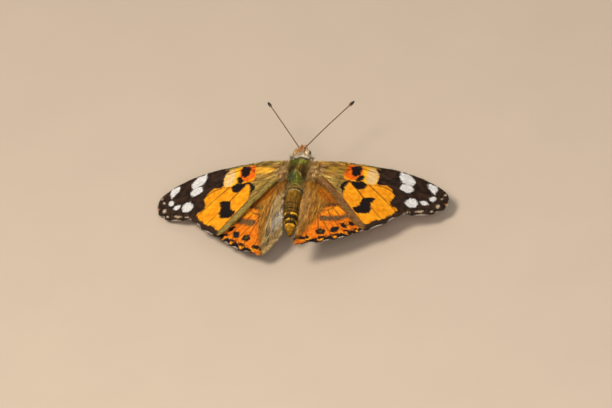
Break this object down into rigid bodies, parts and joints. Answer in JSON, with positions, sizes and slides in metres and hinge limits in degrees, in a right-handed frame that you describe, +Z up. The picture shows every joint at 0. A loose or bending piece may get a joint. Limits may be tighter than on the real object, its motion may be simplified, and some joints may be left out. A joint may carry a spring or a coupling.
{
  "type": "painted lady butterfly",
  "caption": "Life-size model of a painted lady butterfly basking with its wings spread, standing on its own legs, with ridged wing veins, clubbed antennae and coiled tongue.",
  "frame": {"origin": "on the floor, below the middle of the whole animal's bounding box", "axes": "+X towards the butterfly's right, along the wingspan; +Y the way it faces; +Z up"},
  "size_m": [0.0612, 0.039, 0.0116],
  "materials": {
    "wing_scales": "matte scales, orange with black and white markings",
    "body_hair": "soft olive-brown hair",
    "abdomen_scales": "yellow-brown scales with dark bands",
    "eye": "glossy faceted",
    "antenna_shaft": "matt brown with black clubs",
    "leg": "matt, thinly scaled"
  },
  "bodies": {
    "root": {"abdomen": "abdomen_scales", "antenna_left": "antenna_shaft", "antenna_right": "antenna_shaft", "eye_left": "eye", "eye_right": "eye", "foreleg_left": "leg", "foreleg_right": "leg", "forewing_left": "wing_scales", "forewing_right": "wing_scales", "head": "body_hair", "hindleg_left": "leg", "hindleg_right": "leg", "hindwing_left": "wing_scales", "hindwing_right": "wing_scales", "midleg_left": "leg", "midleg_right": "leg", "palp_left": "body_hair", "palp_right": "body_hair", "proboscis": "antenna_shaft", "thorax": "body_hair"}
  },
  "joints": []
}
